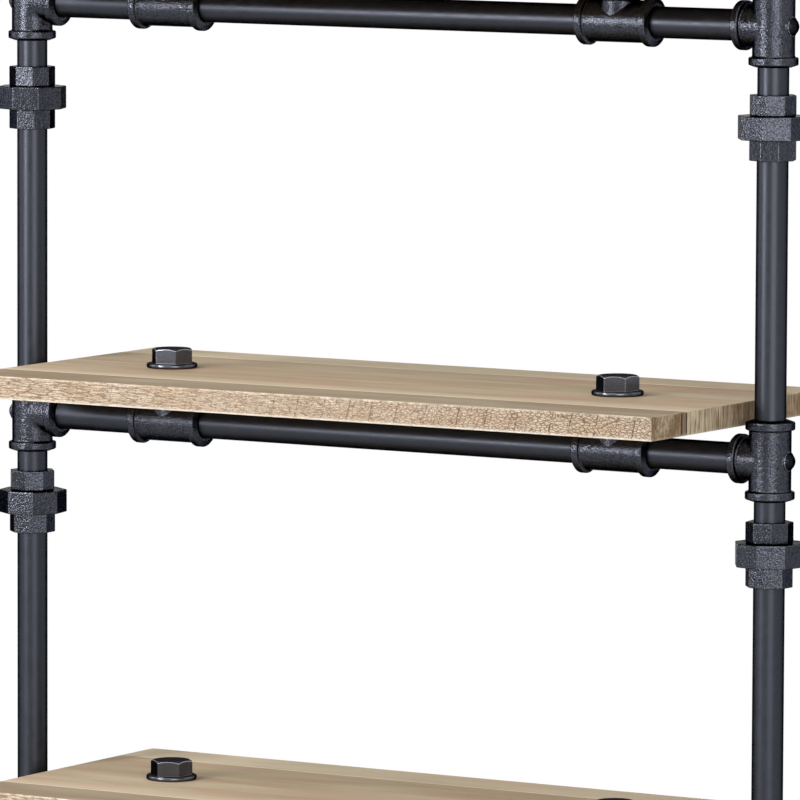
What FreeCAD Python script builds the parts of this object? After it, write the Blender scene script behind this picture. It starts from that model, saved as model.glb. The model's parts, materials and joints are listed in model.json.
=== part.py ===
import FreeCAD, Part
import math
import os
from FreeCAD import Placement, Rotation, Vector

# Pipe shelving unit: two uprights of iron pipe joined by one crossbar per tier, with a board bolted to each
# crossbar. X runs along the boards, Y from front to back, Z up. The origin is on the floor, in the middle.

# Driving dimensions, in millimetres. Angles are in degrees.

# Layout
tier_count = 4
tier_pitch = 363.5  # from one crossbar's axis to the next
lowest_tier_height = 210.0  # from the floor to the lowest crossbar's axis
board_end_gap = 7.7  # from a board's end to the beads of the upright beside it
bolt_inset = 118.5  # from a board's end to the axis of its bolt
foot_reach = 125.0  # from an upright's axis to a glide's axis, to the front and to the back

# Pipe
pipe_diameter = 26.7
pipe_wall = 2.3
pipe_end_chamfer = 0.8
thread_engagement = 15.0  # length of pipe inside a fitting
thread_clearance = 0.15  # radial gap between two screwed pieces
seat_gap = 0.3  # gap between a piece's end and the shoulder that it is screwed towards

# Bare pipe between each crossbar's fitting and the union below it, from the lowest tier up
nipples_exposed = [19.0, 17.2, 22.8, 20.6]

# Cast fittings
casting_wall = 4.5  # round a socket, outside the bead
bead_width = 8.5
bead_height = 3.0  # the bead stands proud of the barrel
bead_round = 1.4
bead_blend = 1.5  # fillet between the barrel and the bead
mouth_lip_width = 5.6  # of the slope from the bead's rim in to the flat mouth
mouth_lip_height = 2.0
branch_step = 0.9  # a tee's branch is thinner than its run
neck_fillet = 3.0  # where the branch of a long-necked tee meets the run
tee_throat = 4.8  # between the bead of a run and the bead of the branch
tee_neck = 6.3  # bare branch between the run and the branch's bead
crossbar_tee_throat = 6.5
crossbar_tee_neck = 0.5
elbow_throat = 2.0  # inside radius of the bend, on the barrel's surface
elbow_straight = 13.0  # from the end of the bend to the mouth

# Union
octagon_wall = 5.25  # round the socket, at the middle of a flat
union_head_height = 17.5
union_nut_height = 20.0
union_tail_height = 17.5
union_neck_wall = 4.0  # of the head's neck, inside the nut
union_lip_height = 4.5  # of the nut, round the neck
union_flange_width = 6.0  # of the head's flange, under the nut's lip
union_flange_height = 4.0
union_nut_wall = 6.8  # round the nut's thread, at the middle of a flat
union_cone_height = 2.0  # of the ground seat between head and tail
union_cone_width = 2.0
union_edge_round = 0.9

# How far the wrench left each union piece turned: head, nut, tail. The tiers count from the lowest.
union_turns = {
    "left": [(10, 0, 30), (17, 34, 26), (34, 44, 38), (5, 20, 12)],
    "right": [(35, 0, 20), (32, 9, 17), (13, 13, 43), (24, 30, 3)],
}

# How far each shelf bolt came round when it was tight, from the lowest tier up
bolt_turns = {"left": [23, 13, 47, 5], "right": [36, 21, 2, 31]}

# Locking screw of an upright tee
screw_shank_diameter = 8.0
screw_shank_length = 10.0
screw_head_diameter = 15.0
screw_head_height = 4.6
screw_socket_width = 5.0
screw_socket_depth = 2.4
screw_boss_height = 0.5  # the flat boss stands proud of the barrel
screw_boss_margin = 0.8  # round the screw's head

# Board
board_length = 686.0
board_depth = 302.0
board_thickness = 20.0
board_edge_chamfer = 0.6
front_plank_width = 59.0
back_plank_width = 51.0
groove_width = 1.6  # of the vee between two planks
groove_depth = 1.2
bolt_hole_clearance = 0.5

# Shelf bolt
bolt_shank_diameter = 20.0
bolt_engagement = 12.0  # length of shank inside the tee
bolt_tip_chamfer = 1.5
bolt_flange_diameter = 44.6
bolt_flange_height = 4.2
bolt_flange_round = 1.7
bolt_head_flats = 32.5
bolt_head_height = 12.8
bolt_corner_round = 1.4
bolt_crown_angle = 30.0  # of the chamfer round the top of the head

# Foot plug and levelling glide
stud_diameter = 8.0
stud_clearance = 0.3  # the stud runs in the plug
stud_seat_clearance = 0.1  # the stud is held in the pad
stud_seat_depth = 5.0
glide_travel = 10.0
glide_gap = 0.3  # between the glide and the plug when it is screwed right in
glide_hex_flats = 17.0
glide_hex_height = 4.0
glide_pad_diameter = 34.0
glide_pad_height = 5.0
glide_pad_chamfer = 1.2

# Sizes that follow from the driving dimensions
pipe_radius = pipe_diameter / 2
bore_radius = pipe_radius - pipe_wall
socket_radius = pipe_radius + thread_clearance
socket_depth = thread_engagement + seat_gap
barrel_radius = socket_radius + casting_wall
bead_radius = barrel_radius + bead_height
branch_radius = barrel_radius - branch_step

tee_half_run = bead_radius + tee_throat + bead_width
tee_reach = barrel_radius + tee_neck + bead_width
crossbar_tee_half_run = bead_radius + crossbar_tee_throat + bead_width
crossbar_tee_reach = barrel_radius + crossbar_tee_neck + bead_width
elbow_bend_radius = barrel_radius + elbow_throat
elbow_reach = elbow_bend_radius + elbow_straight

union_height = union_head_height + union_nut_height + union_tail_height
octagon_half_flats = socket_radius + octagon_wall
union_neck_radius = bore_radius + union_neck_wall
union_flange_radius = union_neck_radius + union_flange_width
union_thread_radius = union_flange_radius + thread_clearance
nut_bore_radius = union_thread_radius + thread_clearance
nut_half_flats = nut_bore_radius + union_nut_wall

board_underside = crossbar_tee_reach  # above the crossbar's axis
bolt_bore_radius = bolt_shank_diameter / 2 + thread_clearance
glide_height = glide_pad_height + glide_hex_height
stud_bore_radius = stud_diameter / 2 + stud_clearance
stud_length = stud_seat_depth - seat_gap + glide_gap + thread_engagement + glide_travel
foot_height = glide_height + glide_gap + elbow_reach

upright_x = board_length / 2 + board_end_gap + bead_radius
bolt_x = board_length / 2 - bolt_inset
tier_heights = [lowest_tier_height + tier_pitch * tier for tier in range(tier_count)]
sides = {"left": -1, "right": 1}
ends = {"front": -1, "back": 1}

origin = Vector(0, 0, 0)
right = Vector(1, 0, 0)
back = Vector(0, 1, 0)
up = Vector(0, 0, 1)
down = -up


# Basic forms


def moved(shape, offset):
    copy = shape.copy()
    copy.translate(offset)
    return copy


def aimed(shape, direction):
    # A form built along +Z from the origin, turned to run along the direction
    copy = shape.copy()
    copy.Placement = Placement(origin, Rotation(up, direction))
    return copy


def fitted(fitting, run, branch, place):
    # A fitting built with its run along Z and its branch along +X, turned and moved to its place
    copy = fitting.copy()
    copy.Placement = Placement(place, Rotation(branch, run.cross(branch), run, "ZXY"))
    return copy


def revolved(outline):
    # An outline of radius and height pairs, turned round the Z axis
    corners = [Vector(radius, 0, height) for radius, height in outline]
    return Part.Face(Part.makePolygon(corners + corners[:1])).revolve(origin, up, 360)


def prism(side_count, half_flats, height, turn):
    # A regular prism that stands on the origin, with a corner turned from +X
    corner_radius = half_flats / math.cos(math.pi / side_count)
    corners = []
    for side in range(side_count + 1):
        angle = math.radians(turn + 360 * side / side_count)
        corners.append(Vector(corner_radius * math.cos(angle), corner_radius * math.sin(angle), 0))
    return Part.Face(Part.makePolygon(corners)).extrude(up * height)


def bored(radius, start, end):
    # The waste of a hole along +Z
    return Part.makeCylinder(radius, end - start, up * start)


def circles_of(shape, radius, above=-math.inf):
    # A turned form's sharp edges of one radius, above a height
    circles = [edge for edge in shape.Edges if isinstance(edge.Curve, Part.Circle)]
    return [edge for edge in circles
            if math.isclose(edge.Curve.Radius, radius) and edge.Curve.Center.z > above]


# Pipe


def pipe(start, end):
    # A pipe between two points, its ends chamfered as a thread cutter leaves them
    run = end - start
    ring = revolved([(bore_radius, 0),
                     (pipe_radius - pipe_end_chamfer, 0),
                     (pipe_radius, pipe_end_chamfer),
                     (pipe_radius, run.Length - pipe_end_chamfer),
                     (pipe_radius - pipe_end_chamfer, run.Length),
                     (bore_radius, run.Length)])
    return moved(aimed(ring, run), start)


# Cast fittings. Each is built round the point where the axes of its arms cross.


def barrel(radius, start, reach):
    # One arm of a casting: its bead blends into the barrel, is rounded and slopes in to the mouth
    bead_foot = reach - bead_width
    arm = revolved([(0, start), (radius, start), (radius, bead_foot),
                    (bead_radius, bead_foot), (bead_radius, reach - mouth_lip_height),
                    (bead_radius - mouth_lip_width, reach), (0, reach)])
    arm = arm.makeFillet(bead_blend, circles_of(arm, radius, start))
    return arm.makeFillet(bead_round, circles_of(arm, bead_radius))


def socket(reach):
    # The waste of one screwed mouth and the passage behind it
    return bored(socket_radius, reach - socket_depth, reach).fuse(bored(bore_radius, 0, reach))


def tee_casting(half_run, reach):
    # The outside of a tee: its run along Z and its branch along +X
    half = barrel(barrel_radius, 0, half_run)
    run = half.fuse(aimed(half, down)).removeSplitter()
    return run.fuse(aimed(barrel(branch_radius, 0, reach), right))


def foot_tee():
    # A long-necked tee with a fillet round the branch's root and three screwed mouths
    body = tee_casting(tee_half_run, tee_reach)
    root = [edge for edge in body.Edges if isinstance(edge.Curve, Part.BSplineCurve)]
    run_mouth = socket(tee_half_run)
    waste = [run_mouth, aimed(run_mouth, down), aimed(socket(tee_reach), right)]
    return body.makeFillet(neck_fillet, root).cut(waste)


def upright_tee():
    # The same tee with a flat boss and a hole for the locking screw opposite its branch
    boss_radius = screw_head_diameter / 2 + screw_boss_margin
    boss = bored(boss_radius, socket_radius, barrel_radius + screw_boss_height)
    screw_hole = bored(screw_shank_diameter / 2 + thread_clearance, 0, bead_radius)
    passage = bored(bore_radius, -tee_half_run, tee_half_run)
    return foot_tee().fuse(aimed(boss, -right).cut(passage)).cut(aimed(screw_hole, -right))


def crossbar_tee():
    # A tee whose short branch takes a shelf bolt
    run_mouth = socket(crossbar_tee_half_run)
    bolt_hole = bored(bolt_bore_radius, 0, crossbar_tee_reach)
    waste = [run_mouth, aimed(run_mouth, down), aimed(bolt_hole, right)]
    return tee_casting(crossbar_tee_half_run, crossbar_tee_reach).cut(waste)


def quarter_bend(radius):
    # A round bar bent from the arm along -Z to the arm along +X
    disc = Part.Face(Part.Wire(Part.makeCircle(radius, down * elbow_bend_radius, up)))
    return disc.revolve(Vector(elbow_bend_radius, 0, -elbow_bend_radius), back, 90)


def elbow():
    arm = barrel(barrel_radius, elbow_bend_radius, elbow_reach)
    body = quarter_bend(barrel_radius).fuse([aimed(arm, down), aimed(arm, right)]).removeSplitter()
    mouth = bored(socket_radius, elbow_reach - socket_depth, elbow_reach)
    passage = bored(bore_radius, elbow_bend_radius, elbow_reach)
    straight = mouth.fuse(passage)
    return body.cut([quarter_bend(bore_radius), aimed(straight, down), aimed(straight, right)])


# Union. Each piece is built with the union's lower end at the origin.


def cast_octagon(half_flats, base, height, turn):
    # An octagon with every edge rounded
    octagon = prism(8, half_flats, height, turn)
    return moved(octagon.makeFillet(union_edge_round, octagon.Edges), up * base)


def union_head(turn):
    # The upper piece: octagon, neck, flange under the nut's lip and a cone that seats in the tail
    octagon_base = union_height - union_head_height
    flange_base = octagon_base - union_lip_height - union_flange_height
    cone_radius = bore_radius + union_cone_width
    skirt = revolved([(bore_radius, flange_base - union_cone_height),
                      (cone_radius - union_cone_width / 2, flange_base - union_cone_height),
                      (cone_radius, flange_base),
                      (union_flange_radius, flange_base),
                      (union_flange_radius, flange_base + union_flange_height),
                      (union_neck_radius, flange_base + union_flange_height),
                      (union_neck_radius, octagon_base),
                      (bore_radius, octagon_base)])
    octagon = cast_octagon(octagon_half_flats, octagon_base, union_head_height, turn)
    waste = [bored(bore_radius, octagon_base, union_height),
             bored(socket_radius, union_height - socket_depth, union_height)]
    return octagon.cut(waste).fuse(skirt).removeSplitter()


def union_nut(turn):
    # The ring that pulls the head down onto the tail
    lip_base = union_nut_height - union_lip_height
    hole = revolved([(0, 0), (nut_bore_radius, 0), (nut_bore_radius, lip_base),
                     (union_neck_radius + thread_clearance, lip_base),
                     (union_neck_radius + thread_clearance, union_nut_height), (0, union_nut_height)])
    ring = cast_octagon(nut_half_flats, 0, union_nut_height, turn).cut(hole)
    return moved(ring, up * union_tail_height)


def union_tail(turn):
    # The lower piece: octagon, threaded boss inside the nut and the seat for the head's cone
    boss_top = union_tail_height + union_nut_height - union_lip_height - union_flange_height
    octagon = cast_octagon(octagon_half_flats, 0, union_tail_height, turn)
    boss = bored(union_thread_radius, union_tail_height, boss_top)
    seat_radius = bore_radius + union_cone_width + thread_clearance
    seat = revolved([(0, boss_top - union_cone_height - seat_gap),
                     (seat_radius - union_cone_width / 2, boss_top - union_cone_height - seat_gap),
                     (seat_radius, boss_top), (0, boss_top)])
    waste = [seat, bored(bore_radius, 0, boss_top), bored(socket_radius, 0, socket_depth)]
    return octagon.fuse(boss).cut(waste)


# Fasteners


def locking_screw():
    # A button-head screw along +Z, its head's underside at the origin
    head_radius = screw_head_diameter / 2
    dome_radius = (head_radius ** 2 + screw_head_height ** 2) / (2 * screw_head_height)
    dome = Part.makeSphere(dome_radius, up * (screw_head_height - dome_radius))
    head = dome.common(bored(head_radius, 0, screw_head_height))
    shank = bored(screw_shank_diameter / 2, -screw_shank_length, 0)
    key_hole = prism(6, screw_socket_width / 2, screw_socket_depth, 0)
    return head.fuse(shank).cut(moved(key_hole, up * (screw_head_height - screw_socket_depth)))


def shelf_bolt(turn):
    # A flanged hexagon bolt, the flange's underside at the origin
    shank_radius, flange_radius = bolt_shank_diameter / 2, bolt_flange_diameter / 2
    shank_length = board_thickness + bolt_engagement
    shaft = revolved([(0, -shank_length),
                      (shank_radius - bolt_tip_chamfer, -shank_length),
                      (shank_radius, -shank_length + bolt_tip_chamfer),
                      (shank_radius, 0),
                      (flange_radius, 0),
                      (flange_radius, bolt_flange_height),
                      (0, bolt_flange_height)])
    shaft = shaft.makeFillet(bolt_flange_round, circles_of(shaft, flange_radius))
    half_flats = bolt_head_flats / 2
    corner_radius = half_flats / math.cos(math.pi / 6)
    crown_drop = (corner_radius - half_flats) * math.tan(math.radians(bolt_crown_angle))
    crown = revolved([(0, 0), (corner_radius, 0), (corner_radius, bolt_head_height - crown_drop),
                      (half_flats, bolt_head_height), (0, bolt_head_height)])
    hexagon = prism(6, half_flats, bolt_head_height, turn)
    uprights = [edge for edge in hexagon.Edges if edge.tangentAt(edge.FirstParameter).cross(up).Length < 0.5]
    head = hexagon.makeFillet(bolt_corner_round, uprights).common(crown)
    return shaft.fuse(moved(head, up * bolt_flange_height))


# Board


def groove(start, run, inward):
    # The waste of a vee groove: the middle of its mouth starts at a point and runs along a vector
    half_mouth = run.cross(inward).normalize() * (groove_width / 2)
    corners = [start - half_mouth, start + half_mouth, start + inward * groove_depth, start - half_mouth]
    return Part.Face(Part.makePolygon(corners)).extrude(run)


def board():
    # Three planks glued side by side and grooved where they meet, with a hole for each bolt
    half_length = board_length / 2
    corner = Vector(-half_length, -board_depth / 2, 0)
    slab = Part.makeBox(board_length, board_depth, board_thickness, corner)
    slab = slab.makeChamfer(board_edge_chamfer, slab.Edges)
    waste = []
    for joint_y in (front_plank_width - board_depth / 2, board_depth / 2 - back_plank_width):
        waste.append(groove(Vector(-half_length, joint_y, board_thickness), right * board_length, down))
        for side in sides.values():
            end = Vector(side * half_length, joint_y, 0)
            waste.append(groove(end, up * board_thickness, right * -side))
    for side in sides.values():
        hole = bored(bolt_shank_diameter / 2 + bolt_hole_clearance, 0, board_thickness)
        waste.append(moved(hole, right * (side * bolt_x)))
    return slab.cut(waste)


# Foot


def foot_plug():
    # A plug screwed flush into an elbow that points down, with its lower face at the origin
    return revolved([(stud_bore_radius, 0),
                     (pipe_radius, 0),
                     (pipe_radius, thread_engagement - pipe_end_chamfer),
                     (pipe_radius - pipe_end_chamfer, thread_engagement),
                     (stud_bore_radius, thread_engagement)])


def glide_stud():
    # The stud stands in the pad and reaches through the plug. The origin is on the floor.
    bottom = glide_height - stud_seat_depth + seat_gap
    return bored(stud_diameter / 2, bottom, bottom + stud_length)


def glide_pad():
    pad_radius = glide_pad_diameter / 2
    disc = revolved([(0, 0), (pad_radius - glide_pad_chamfer, 0), (pad_radius, glide_pad_chamfer),
                     (pad_radius, glide_pad_height - glide_pad_chamfer),
                     (pad_radius - glide_pad_chamfer, glide_pad_height), (0, glide_pad_height)])
    nut = moved(prism(6, glide_hex_flats / 2, glide_hex_height, 0), up * glide_pad_height)
    seat = bored(stud_diameter / 2 + stud_seat_clearance, glide_height - stud_seat_depth, glide_height)
    return disc.fuse(nut).cut(seat)


# Assembly


def save(name, pieces):
    Part.makeCompound(pieces).exportStep("parts/" + name + ".step")


def tier_name(name, tier):
    return name + "_tier_" + str(tier + 1)


def in_turn(values, tier):
    # A list written for fewer tiers starts again from its first value
    return values[tier % len(values)]


def is_top(tier):
    return tier == tier_count - 1


def inward_reach(tier):
    # From an upright's axis to the mouth that takes the crossbar
    return elbow_reach if is_top(tier) else tee_reach


def downward_reach(tier):
    # From a crossbar's axis to the mouth that takes the nipple
    return elbow_reach if is_top(tier) else tee_half_run


def union_base(tier):
    return tier_heights[tier] - downward_reach(tier) - in_turn(nipples_exposed, tier) - union_height


def mouth_under(tier):
    # The upper mouth of the next fitting down the upright
    return tier_heights[tier - 1] + tee_half_run if tier > 0 else foot_height + tee_reach


def build_tiers():
    tee, shelf = crossbar_tee(), board()
    inner_mouth = bolt_x - crossbar_tee_half_run
    outer_mouth = bolt_x + crossbar_tee_half_run
    for tier, height in enumerate(tier_heights):
        axis, underside = up * height, up * (height + board_underside)
        bolt_seat = underside + up * board_thickness
        centre_end = right * (inner_mouth + thread_engagement)
        upright_mouth = upright_x - inward_reach(tier)
        tees, bolts, end_pipes = [], [], []
        for side_name, side in sides.items():
            outward = right * side
            tees.append(fitted(tee, right, up, axis + outward * bolt_x))
            bolt = shelf_bolt(in_turn(bolt_turns[side_name], tier))
            bolts.append(moved(bolt, bolt_seat + outward * bolt_x))
            end_pipes.append(pipe(axis + outward * (outer_mouth - thread_engagement),
                                  axis + outward * (upright_mouth + thread_engagement)))
        save(tier_name("crossbar_tees", tier), tees)
        save(tier_name("crossbar_centre_pipe", tier), [pipe(axis - centre_end, axis + centre_end)])
        save(tier_name("crossbar_end_pipes", tier), end_pipes)
        save(tier_name("shelf_bolts", tier), bolts)
        save(tier_name("board", tier), [moved(shelf, underside)])


def build_uprights():
    tee, bend, screw = upright_tee(), elbow(), locking_screw()
    screws = []
    for side_name, side in sides.items():
        foot, inward = right * (side * upright_x), right * -side
        heads, nuts, tails, nipples = [], [], [], []
        for tier, height in enumerate(tier_heights):
            centre = foot + up * height
            if is_top(tier):
                save("top_elbow_" + side_name, [fitted(bend, up, inward, centre)])
            else:
                save(tier_name("upright_tee_" + side_name, tier), [fitted(tee, up, inward, centre)])
                screw_seat = centre - inward * (barrel_radius + screw_boss_height)
                screws.append(moved(aimed(screw, -inward), screw_seat))
            base = union_base(tier)
            head_turn, nut_turn, tail_turn = in_turn(union_turns[side_name], tier)
            heads.append(moved(union_head(head_turn), foot + up * base))
            nuts.append(moved(union_nut(nut_turn), foot + up * base))
            tails.append(moved(union_tail(tail_turn), foot + up * base))
            nipple_base = base + union_height - thread_engagement
            nipple_top = height - downward_reach(tier) + thread_engagement
            nipples.append(pipe(foot + up * nipple_base, foot + up * nipple_top))
            pipe_base = mouth_under(tier) - thread_engagement
            save(tier_name("upright_pipe_" + side_name, tier),
                 [pipe(foot + up * pipe_base, foot + up * (base + thread_engagement))])
        save("union_heads_" + side_name, heads)
        save("union_nuts_" + side_name, nuts)
        save("union_tails_" + side_name, tails)
        save("union_nipples_" + side_name, nipples)
    save("locking_screws", screws)


def build_feet():
    tee, bend, plug, stud, pad = foot_tee(), elbow(), foot_plug(), glide_stud(), glide_pad()
    plugs = []
    for side_name, side in sides.items():
        floor = right * (side * upright_x)
        centre = floor + up * foot_height
        save("foot_tee_" + side_name, [fitted(tee, back, up, centre)])
        elbows, pipes = [], []
        for end_name, end in ends.items():
            outward = back * end
            glide = floor + outward * foot_reach
            elbows.append(fitted(bend, up, -outward, centre + outward * foot_reach))
            pipes.append(pipe(centre + outward * (tee_half_run - thread_engagement),
                              centre + outward * (foot_reach - elbow_reach + thread_engagement)))
            plugs.append(moved(plug, glide + up * (glide_height + glide_gap)))
            save("glide_stud_" + end_name + "_" + side_name, [moved(stud, glide)])
            save("glide_pad_" + end_name + "_" + side_name, [moved(pad, glide)])
        save("foot_elbows_" + side_name, elbows)
        save("foot_pipes_" + side_name, pipes)
    save("foot_plugs", plugs)


os.makedirs("parts", exist_ok=True)
build_tiers()
build_uprights()
build_feet()
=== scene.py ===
import json
import math
import bmesh
import bpy
from mathutils import Matrix, Vector, noise

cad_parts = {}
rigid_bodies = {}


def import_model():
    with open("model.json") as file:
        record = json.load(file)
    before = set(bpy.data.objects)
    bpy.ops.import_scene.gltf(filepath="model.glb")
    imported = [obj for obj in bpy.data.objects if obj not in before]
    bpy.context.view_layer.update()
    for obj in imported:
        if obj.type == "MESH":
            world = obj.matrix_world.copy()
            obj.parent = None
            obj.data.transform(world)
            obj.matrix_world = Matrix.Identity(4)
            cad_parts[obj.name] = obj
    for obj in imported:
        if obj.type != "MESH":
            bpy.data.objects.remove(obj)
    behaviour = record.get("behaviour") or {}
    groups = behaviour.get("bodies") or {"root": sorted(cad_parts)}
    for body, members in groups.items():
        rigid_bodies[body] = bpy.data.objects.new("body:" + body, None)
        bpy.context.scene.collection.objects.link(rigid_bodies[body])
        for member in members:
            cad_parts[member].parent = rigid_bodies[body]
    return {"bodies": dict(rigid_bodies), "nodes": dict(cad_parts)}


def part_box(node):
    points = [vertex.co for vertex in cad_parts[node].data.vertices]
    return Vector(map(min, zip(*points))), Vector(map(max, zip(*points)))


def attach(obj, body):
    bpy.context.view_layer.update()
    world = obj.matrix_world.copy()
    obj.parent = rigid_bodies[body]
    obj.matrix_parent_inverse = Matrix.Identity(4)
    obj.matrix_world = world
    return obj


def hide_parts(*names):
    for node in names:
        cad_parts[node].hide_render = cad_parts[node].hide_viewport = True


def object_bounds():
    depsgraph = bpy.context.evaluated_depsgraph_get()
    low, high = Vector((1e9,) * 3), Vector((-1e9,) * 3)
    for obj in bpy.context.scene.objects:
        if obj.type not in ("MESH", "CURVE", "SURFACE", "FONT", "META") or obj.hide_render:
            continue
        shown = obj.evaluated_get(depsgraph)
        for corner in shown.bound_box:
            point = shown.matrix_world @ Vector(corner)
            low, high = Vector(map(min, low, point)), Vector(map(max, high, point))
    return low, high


# Pipe shelving unit: iron pipe, cast fittings and oak boards. Metres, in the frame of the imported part.
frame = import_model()
solidLow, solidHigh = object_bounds()
tierCount = len([name for name in frame["nodes"] if name.startswith("board_tier_")])
print("frame: %d nodes, %d tiers" % (len(frame["nodes"]), tierCount))


def fromHex(code):
    # sRGB hex to the linear colour that the shader takes
    channels = [int(code[i:i + 2], 16) / 255 for i in (1, 3, 5)]
    return tuple(c / 12.92 if c <= 0.04045 else ((c + 0.055) / 1.055) ** 2.4 for c in channels) + (1.0,)


def setNode(tree, node, values):
    # A key is a property of the node, or an input by name or number; a value that is a socket is linked
    for key, value in values.items():
        if isinstance(key, str) and hasattr(node, key):
            setattr(node, key, value)
            continue
        shown = [socket for socket in node.inputs if socket.enabled]
        socket = shown[key] if isinstance(key, int) else next(one for one in shown if one.name == key)
        if isinstance(value, bpy.types.NodeSocket):
            tree.links.new(value, socket)
        else:
            socket.default_value = value
    return node


def addNode(tree, kind, values, output=0):
    # A new node with its settings and links, given as one of its outputs by name or number
    node = setNode(tree, tree.nodes.new("ShaderNode" + kind), values)
    shown = [socket for socket in node.outputs if socket.enabled]
    return next(socket for number, socket in enumerate(shown) if output in (number, socket.name))


def newMaterial(name):
    material = bpy.data.materials.new(name)
    material.use_nodes = True
    return material, material.node_tree, material.node_tree.nodes["Principled BSDF"]


def grid(tree, cell, shift=(0, 0, 0)):
    # Object coordinates counted in cells of a real size in millimetres
    sizes = cell if isinstance(cell, tuple) else (cell,) * 3
    return addNode(tree, "Mapping", {"Vector": addNode(tree, "TexCoord", {}, "Object"), "Location": shift,
                                     "Scale": [1000 / size for size in sizes]})


# Sizes and depths in the finishes are millimetres. A MapRange takes its inputs by number: 0 the value, 1 and
# 2 the span that it comes from, 3 and 4 the span that it goes to. From and Full name a span's two ends.
noiseLow, noiseHigh = 0.3, 0.7  # nearly all of a noise lies between these
white = (1, 1, 1, 1)

# The painted highlight on the outward corners of castings and bolts: where it starts and how far it reaches
edgeHighlightShape = {
    "turnFrom": 0.997, "turnFull": 0.965,  # cosine between the rounded normal and the face's own
    "openFrom": 0.8, "openFull": 0.95,  # how open the place is, which keeps the painted highlight off inward corners
    "openReach": 2,  # how far round that is felt, in corner radii
}


def edgeHighlightMask(tree, corner, reach, most):
    # Painted highlight: how far outward corners are lightened towards bright iron to glint, where the rounded
    # normal turns
    facing = addNode(tree, "NewGeometry", {}, "Normal")
    turned = addNode(tree, "VectorMath", {"operation": "DOT_PRODUCT", 0: corner, 1: facing}, "Value")
    bright = addNode(tree, "MapRange", {0: turned, 1: edgeHighlightShape["turnFrom"], 2: edgeHighlightShape["turnFull"],
                                        3: 0, 4: most})
    around = addNode(tree, "AmbientOcclusion", {"samples": 4, "only_local": True,
                                                "Distance": edgeHighlightShape["openReach"] * reach / 1000}, "AO")
    outward = addNode(tree, "MapRange", {0: around, 1: edgeHighlightShape["openFrom"], 2: edgeHighlightShape["openFull"]})
    return addNode(tree, "Math", {"operation": "MULTIPLY", 0: bright, 1: outward})


flakeRimShade = "#3b3c42"  # edge tint where the surface turns away, dark as painted shade on the rims

castingPaint = {
    # the palest colour is the painted highlight on outward corners
    "hollow": "#2c2d33", "crest": "#4a4c54", "edgeHighlight": "#b4b5bb",
    "skin": 2.1, "skinDepth": 0.38, "pit": 1.3, "pitDepth": 0.2,  # sand is finer: drawn coarse to show
    "cloud": 22, "edgeRound": 0.9,
    "crestFrom": 0.36, "crestFull": 0.68, "thinFrom": 0.35, "thinFull": 0.7, "thinMost": 0.35,
    "edgeHighlightFrom": 0.4, "edgeHighlightFull": 0.6, "edgeHighlightMost": 0.8, "glossiest": 0.1, "dullest": 0.26,
}


def makeCastingPaint():
    # Malleable cast iron under gunmetal flake enamel: the sand skin shows through the gloss as speckle, and
    # outward corners carry a patchy painted highlight
    look = castingPaint
    material, tree, shader = newMaterial("gunmetalCastIron")
    cloud = addNode(tree, "TexNoise", {"Vector": grid(tree, look["cloud"]), "Scale": 1, "Detail": 3})
    skin = addNode(tree, "TexNoise", {"Vector": grid(tree, look["skin"]), "Scale": 1, "Detail": 2,
                                      "Roughness": 0.6, "Distortion": 0.4})
    gloss = addNode(tree, "MapRange", {0: skin, 1: noiseLow, 2: noiseHigh,
                                       3: look["dullest"], 4: look["glossiest"]})
    pits = addNode(tree, "TexNoise", {"Vector": grid(tree, look["pit"]), "Scale": 1, "Detail": 1})
    # darker in the pits of the skin and paler on its crests
    raised = addNode(tree, "MapRange", {0: pits, 1: look["crestFrom"], 2: look["crestFull"]})
    thin = addNode(tree, "MapRange", {0: cloud, 1: look["thinFrom"], 2: look["thinFull"],
                                      3: 0, 4: look["thinMost"]})
    raised = addNode(tree, "Mix", {"data_type": "FLOAT", "Factor": thin, "A": raised, "B": 1.0})
    colour = addNode(tree, "Mix", {"data_type": "RGBA", "Factor": raised,
                                   "A": fromHex(look["hollow"]), "B": fromHex(look["crest"])})
    # painted highlight: outward corners lightened towards bright iron in patches, so that they glint
    corner = addNode(tree, "Bevel", {"samples": 6, "Radius": look["edgeRound"] / 1000})
    bright = edgeHighlightMask(tree, corner, look["edgeRound"], look["edgeHighlightMost"])
    patchy = addNode(tree, "MapRange", {0: skin, 1: look["edgeHighlightFrom"], 2: look["edgeHighlightFull"]})
    bright = addNode(tree, "Math", {"operation": "MULTIPLY", 0: bright, 1: patchy})
    colour = addNode(tree, "Mix", {"data_type": "RGBA", "Factor": bright, "A": colour,
                                   "B": fromHex(look["edgeHighlight"])})
    coarse = addNode(tree, "Bump", {"Height": skin, "Distance": look["skinDepth"] / 1000, "Normal": corner})
    fine = addNode(tree, "Bump", {"Height": pits, "Distance": look["pitDepth"] / 1000, "Normal": coarse})
    setNode(tree, shader, {"Base Color": colour, "Metallic": 1.0, "Roughness": gloss, "Normal": fine,
                           "Specular Tint": fromHex(flakeRimShade)})
    return material


pipePaint = {
    "colour": "#36383e", "lighter": "#3e4047", "cloud": 9, "glossiest": 0.31, "dullest": 0.39,
    "peel": 2.6, "peelDepth": 0.032,
}


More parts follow.
